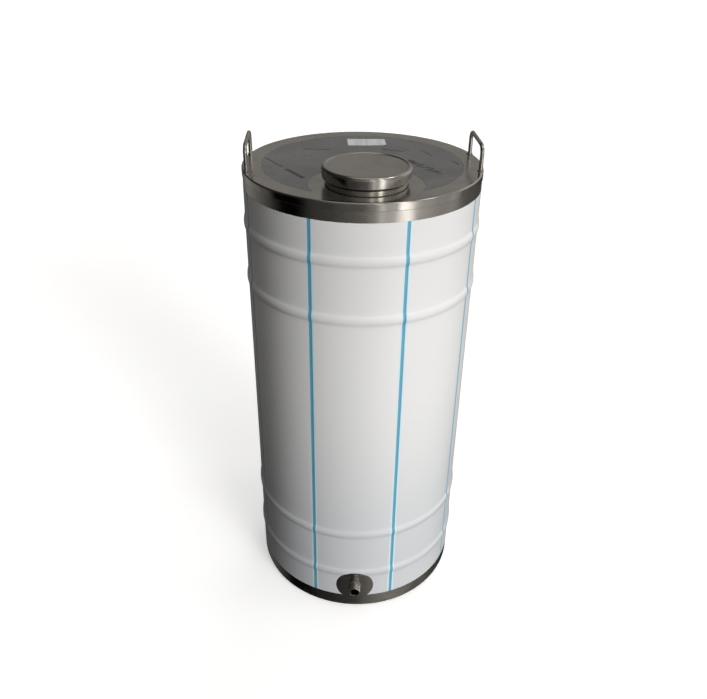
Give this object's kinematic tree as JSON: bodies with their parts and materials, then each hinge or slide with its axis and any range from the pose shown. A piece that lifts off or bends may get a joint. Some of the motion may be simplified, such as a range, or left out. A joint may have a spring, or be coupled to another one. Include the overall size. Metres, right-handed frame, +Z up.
{
  "type": "bulk milk tank",
  "caption": "Upright stainless steel milk barrel with beaded walls, an off-centre filler neck with a lift-off cap, bail handles and a low threaded drain stub.",
  "frame": {"origin": "centre of the foot ring, on the floor the tank stands on", "axes": "+Z up along the barrel's axis; the drain stub points to -Y; the pressed top sits turned 3.5 degrees about Z from it"},
  "size_m": [0.4844, 0.5024, 1.068],
  "materials": {
    "shell_steel": "cold-rolled sheet, bright",
    "polished_steel": "polished",
    "weld_steel": "welded, brushed clean",
    "film": "white protective film with blue stripes",
    "clear_film": "bluish clear protective film",
    "label_paper": "printed label with no text",
    "gasket_rubber": "food-grade white rubber"
  },
  "bodies": {
    "tank": {"tank_shell": "shell_steel", "shell_seam_weld": "weld_steel", "body_film": "film", "base_ring": "shell_steel", "base_weld": "weld_steel", "bottom_head": "shell_steel", "bottom_weld": "weld_steel", "top_head": "polished_steel", "head_weld": "weld_steel", "top_film": "clear_film", "label": "label_paper", "fill_neck": "polished_steel", "neck_weld": "weld_steel", "drain_stub": "shell_steel", "drain_weld": "weld_steel", "handle_left": "polished_steel", "handle_left_welds": "weld_steel", "handle_right": "polished_steel", "handle_right_welds": "weld_steel"},
    "cap": {"cap_cover": "polished_steel", "cap_plug": "polished_steel", "cap_gasket": "gasket_rubber"}
  },
  "joints": [
    {"name": "cap_lift", "type": "slide", "parent": "tank", "child": "cap", "axis": [0, 0, 1], "range_m": [0, 0.06]}
  ]
}
